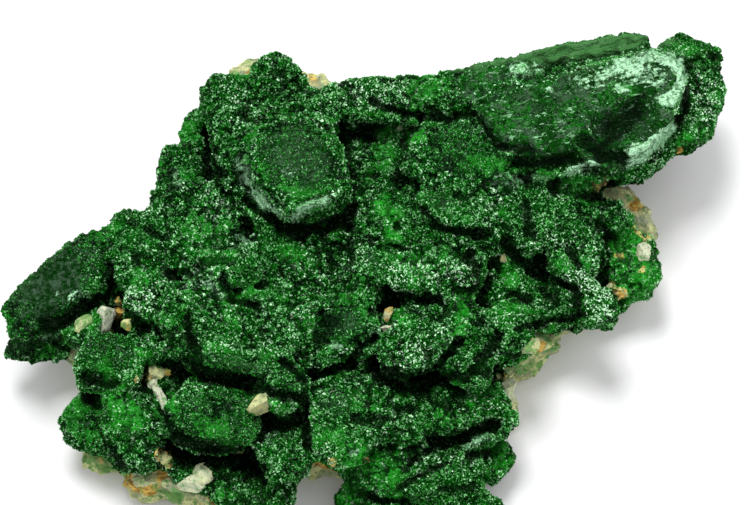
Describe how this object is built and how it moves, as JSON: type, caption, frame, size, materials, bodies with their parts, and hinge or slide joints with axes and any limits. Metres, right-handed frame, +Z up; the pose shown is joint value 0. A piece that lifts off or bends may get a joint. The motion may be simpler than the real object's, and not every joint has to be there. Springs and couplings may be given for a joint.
{
  "type": "mineral specimen",
  "caption": "Mineral specimen: overlapping dark green druzy malachite blades after azurite, grown on a flat slab of pale host rock.",
  "frame": {"origin": "centre of the specimen's bounding box, on the surface that it lies on", "axes": "+Z up from the flat underside, +X along the specimen's length towards the long striated crystal, +Y to the back"},
  "size_m": [0.145, 0.1088, 0.0351],
  "materials": {
    "malachite": "sparkling dark green druse with paler crystal tips and bright green patches",
    "matrix": "matt cream and tan rock with orange iron stains"
  },
  "bodies": {
    "root": {"malachite": "malachite", "matrix": "matrix"}
  },
  "joints": []
}
